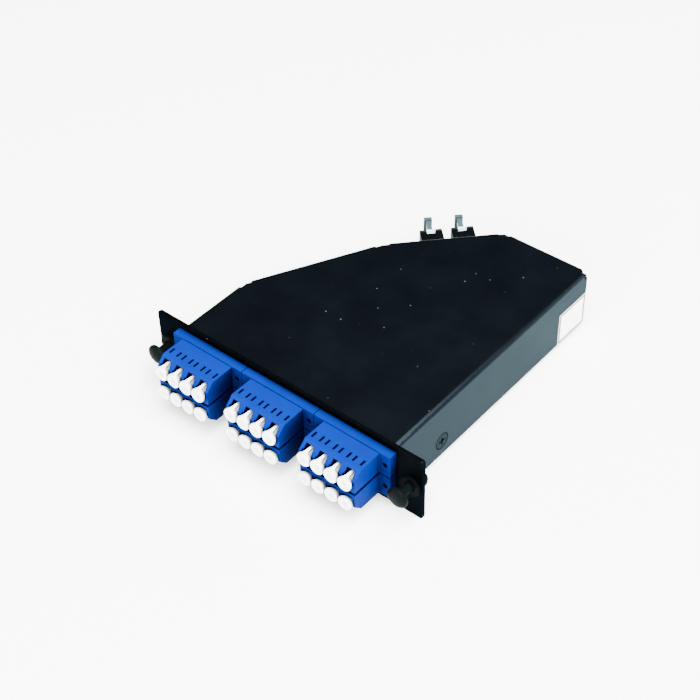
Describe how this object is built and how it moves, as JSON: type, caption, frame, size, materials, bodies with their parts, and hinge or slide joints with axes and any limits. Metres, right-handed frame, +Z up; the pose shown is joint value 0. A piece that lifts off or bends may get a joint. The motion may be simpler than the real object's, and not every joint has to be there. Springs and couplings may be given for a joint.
{
  "type": "fibre cassette",
  "caption": "Slot-in fibre cassette: folded metal case with a slanting rear corner for multi-fibre inlets and a front panel of capped LC adapters between two push-pull latches.",
  "frame": {"origin": "midway between the two panel latches, on the rear face of the front panel, which is the face that seats on the shelf", "axes": "+X to the right seen from the front, +Y to the rear of the case, +Z up"},
  "size_m": [0.1296, 0.1499, 0.0294],
  "materials": {
    "case_paint": "satin powder coat",
    "panel_paint": "satin powder coat",
    "label_paper": "satin",
    "black_screw": "black zinc",
    "blue_plastic": "gloss",
    "white_plastic": "gloss",
    "plug_plastic": "satin",
    "fibre_jacket": "satin",
    "spring_steel": "bright",
    "black_nylon": "satin",
    "dark_plastic": "semi-gloss",
    "inlet_plastic": "satin",
    "grey_plastic": "satin"
  },
  "bodies": {
    "cassette": {"adapter_clips": "spring_steel", "bottom_plate": "case_paint", "case_label": "label_paper", "case_screws": "black_screw", "case_shell": "case_paint", "fibre_harness_lower": "fibre_jacket", "fibre_harness_upper": "fibre_jacket", "front_panel": "panel_paint", "latch_grommet_left": "black_nylon", "latch_grommet_right": "black_nylon", "lc_adapter_front_1": "blue_plastic", "lc_adapter_front_2": "blue_plastic", "lc_adapter_front_3": "blue_plastic", "lc_adapter_front_4": "blue_plastic", "lc_adapter_front_5": "blue_plastic", "lc_adapter_front_6": "blue_plastic", "lc_adapter_rear_1": "blue_plastic", "lc_adapter_rear_2": "blue_plastic", "lc_adapter_rear_3": "blue_plastic", "lc_adapter_rear_4": "blue_plastic", "lc_adapter_rear_5": "blue_plastic", "lc_adapter_rear_6": "blue_plastic", "lc_plugs_lower": "plug_plastic", "lc_plugs_upper": "plug_plastic", "mpo_adapter_1": "inlet_plastic", "mpo_adapter_2": "inlet_plastic", "mpo_adapter_clips": "spring_steel", "mpo_plug_1": "plug_plastic", "mpo_plug_2": "plug_plastic"},
    "lc_dust_cap_01": {"lc_dust_cap_01": "white_plastic"},
    "lc_dust_cap_02": {"lc_dust_cap_02": "white_plastic"},
    "lc_dust_cap_03": {"lc_dust_cap_03": "white_plastic"},
    "lc_dust_cap_04": {"lc_dust_cap_04": "white_plastic"},
    "lc_dust_cap_05": {"lc_dust_cap_05": "white_plastic"},
    "lc_dust_cap_06": {"lc_dust_cap_06": "white_plastic"},
    "lc_dust_cap_07": {"lc_dust_cap_07": "white_plastic"},
    "lc_dust_cap_08": {"lc_dust_cap_08": "white_plastic"},
    "lc_dust_cap_09": {"lc_dust_cap_09": "white_plastic"},
    "lc_dust_cap_10": {"lc_dust_cap_10": "white_plastic"},
    "lc_dust_cap_11": {"lc_dust_cap_11": "white_plastic"},
    "lc_dust_cap_12": {"lc_dust_cap_12": "white_plastic"},
    "lc_dust_cap_13": {"lc_dust_cap_13": "white_plastic"},
    "lc_dust_cap_14": {"lc_dust_cap_14": "white_plastic"},
    "lc_dust_cap_15": {"lc_dust_cap_15": "white_plastic"},
    "lc_dust_cap_16": {"lc_dust_cap_16": "white_plastic"},
    "lc_dust_cap_17": {"lc_dust_cap_17": "white_plastic"},
    "lc_dust_cap_18": {"lc_dust_cap_18": "white_plastic"},
    "lc_dust_cap_19": {"lc_dust_cap_19": "white_plastic"},
    "lc_dust_cap_20": {"lc_dust_cap_20": "white_plastic"},
    "lc_dust_cap_21": {"lc_dust_cap_21": "white_plastic"},
    "lc_dust_cap_22": {"lc_dust_cap_22": "white_plastic"},
    "lc_dust_cap_23": {"lc_dust_cap_23": "white_plastic"},
    "lc_dust_cap_24": {"lc_dust_cap_24": "white_plastic"},
    "mpo_dust_cap_1": {"mpo_dust_cap_1": "grey_plastic"},
    "mpo_dust_cap_2": {"mpo_dust_cap_2": "grey_plastic"},
    "latch_plunger_left": {"latch_plunger_left": "dark_plastic"},
    "latch_plunger_right": {"latch_plunger_right": "dark_plastic"}
  },
  "joints": [
    {"name": "lc_dust_cap_01_pull", "type": "slide", "parent": "cassette", "child": "lc_dust_cap_01", "axis": [0, -1, 0], "range_m": [0, 0.008]},
    {"name": "lc_dust_cap_02_pull", "type": "slide", "parent": "cassette", "child": "lc_dust_cap_02", "axis": [0, -1, 0], "range_m": [0, 0.008]},
    {"name": "lc_dust_cap_03_pull", "type": "slide", "parent": "cassette", "child": "lc_dust_cap_03", "axis": [0, -1, 0], "range_m": [0, 0.008]},
    {"name": "lc_dust_cap_04_pull", "type": "slide", "parent": "cassette", "child": "lc_dust_cap_04", "axis": [0, -1, 0], "range_m": [0, 0.008]},
    {"name": "lc_dust_cap_05_pull", "type": "slide", "parent": "cassette", "child": "lc_dust_cap_05", "axis": [0, -1, 0], "range_m": [0, 0.008]},
    {"name": "lc_dust_cap_06_pull", "type": "slide", "parent": "cassette", "child": "lc_dust_cap_06", "axis": [0, -1, 0], "range_m": [0, 0.008]},
    {"name": "lc_dust_cap_07_pull", "type": "slide", "parent": "cassette", "child": "lc_dust_cap_07", "axis": [0, -1, 0], "range_m": [0, 0.008]},
    {"name": "lc_dust_cap_08_pull", "type": "slide", "parent": "cassette", "child": "lc_dust_cap_08", "axis": [0, -1, 0], "range_m": [0, 0.008]},
    {"name": "lc_dust_cap_09_pull", "type": "slide", "parent": "cassette", "child": "lc_dust_cap_09", "axis": [0, -1, 0], "range_m": [0, 0.008]},
    {"name": "lc_dust_cap_10_pull", "type": "slide", "parent": "cassette", "child": "lc_dust_cap_10", "axis": [0, -1, 0], "range_m": [0, 0.008]},
    {"name": "lc_dust_cap_11_pull", "type": "slide", "parent": "cassette", "child": "lc_dust_cap_11", "axis": [0, -1, 0], "range_m": [0, 0.008]},
    {"name": "lc_dust_cap_12_pull", "type": "slide", "parent": "cassette", "child": "lc_dust_cap_12", "axis": [0, -1, 0], "range_m": [0, 0.008]},
    {"name": "lc_dust_cap_13_pull", "type": "slide", "parent": "cassette", "child": "lc_dust_cap_13", "axis": [0, -1, 0], "range_m": [0, 0.008]},
    {"name": "lc_dust_cap_14_pull", "type": "slide", "parent": "cassette", "child": "lc_dust_cap_14", "axis": [0, -1, 0], "range_m": [0, 0.008]},
    {"name": "lc_dust_cap_15_pull", "type": "slide", "parent": "cassette", "child": "lc_dust_cap_15", "axis": [0, -1, 0], "range_m": [0, 0.008]},
    {"name": "lc_dust_cap_16_pull", "type": "slide", "parent": "cassette", "child": "lc_dust_cap_16", "axis": [0, -1, 0], "range_m": [0, 0.008]},
    {"name": "lc_dust_cap_17_pull", "type": "slide", "parent": "cassette", "child": "lc_dust_cap_17", "axis": [0, -1, 0], "range_m": [0, 0.008]},
    {"name": "lc_dust_cap_18_pull", "type": "slide", "parent": "cassette", "child": "lc_dust_cap_18", "axis": [0, -1, 0], "range_m": [0, 0.008]},
    {"name": "lc_dust_cap_19_pull", "type": "slide", "parent": "cassette", "child": "lc_dust_cap_19", "axis": [0, -1, 0], "range_m": [0, 0.008]},
    {"name": "lc_dust_cap_20_pull", "type": "slide", "parent": "cassette", "child": "lc_dust_cap_20", "axis": [0, -1, 0], "range_m": [0, 0.008]},
    {"name": "lc_dust_cap_21_pull", "type": "slide", "parent": "cassette", "child": "lc_dust_cap_21", "axis": [0, -1, 0], "range_m": [0, 0.008]},
    {"name": "lc_dust_cap_22_pull", "type": "slide", "parent": "cassette", "child": "lc_dust_cap_22", "axis": [0, -1, 0], "range_m": [0, 0.008]},
    {"name": "lc_dust_cap_23_pull", "type": "slide", "parent": "cassette", "child": "lc_dust_cap_23", "axis": [0, -1, 0], "range_m": [0, 0.008]},
    {"name": "lc_dust_cap_24_pull", "type": "slide", "parent": "cassette", "child": "lc_dust_cap_24", "axis": [0, -1, 0], "range_m": [0, 0.008]},
    {"name": "mpo_dust_cap_1_pull", "type": "slide", "parent": "cassette", "child": "mpo_dust_cap_1", "axis": [-0.7235, 0.6903, 0], "range_m": [0, 0.0085]},
    {"name": "mpo_dust_cap_2_pull", "type": "slide", "parent": "cassette", "child": "mpo_dust_cap_2", "axis": [-0.7235, 0.6903, 0], "range_m": [0, 0.0085]},
    {"name": "latch_plunger_left_push", "type": "slide", "parent": "cassette", "child": "latch_plunger_left", "axis": [0, 1, 0], "range_m": [0, 0.0054]},
    {"name": "latch_plunger_right_push", "type": "slide", "parent": "cassette", "child": "latch_plunger_right", "axis": [0, 1, 0], "range_m": [0, 0.0054]}
  ]
}
